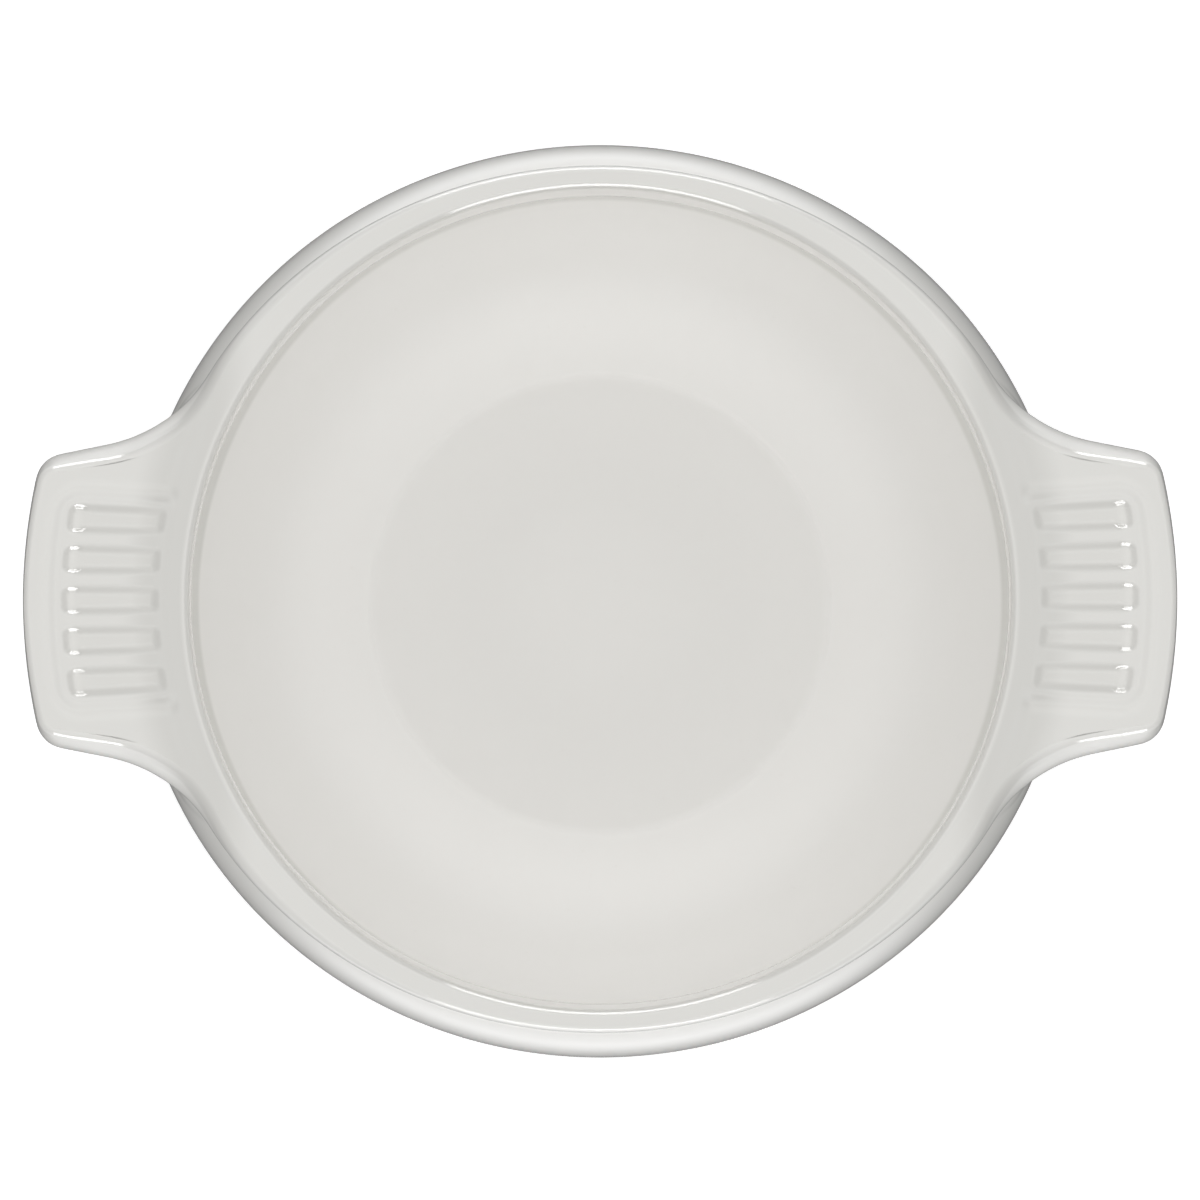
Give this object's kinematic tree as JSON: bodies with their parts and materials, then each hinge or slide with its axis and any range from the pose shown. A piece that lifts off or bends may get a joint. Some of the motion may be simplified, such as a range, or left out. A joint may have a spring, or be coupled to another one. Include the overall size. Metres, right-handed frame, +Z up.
{
  "type": "two-handled stoneware dish",
  "caption": "Deep oval-bellied stoneware bowl on a foot ring, with flat ribbed lug handles level with its rim, for baking and serving a single portion.",
  "frame": {"origin": "on the bowl's axis, on the surface that the foot ring stands on, at the centre of the bounding box's lower face", "axes": "+Z up along the bowl's axis, +X through the right handle along the longest extent, +Y across the handles"},
  "size_m": [0.17, 0.1368, 0.06],
  "materials": {
    "glaze": "glossy warm white glaze over stoneware",
    "bare_clay": "unglazed matt buff stoneware where the foot stands"
  },
  "bodies": {
    "root": {"bowl": "glaze", "left_handle": "glaze", "right_handle": "glaze", "foot_ring": "bare_clay"}
  },
  "joints": []
}
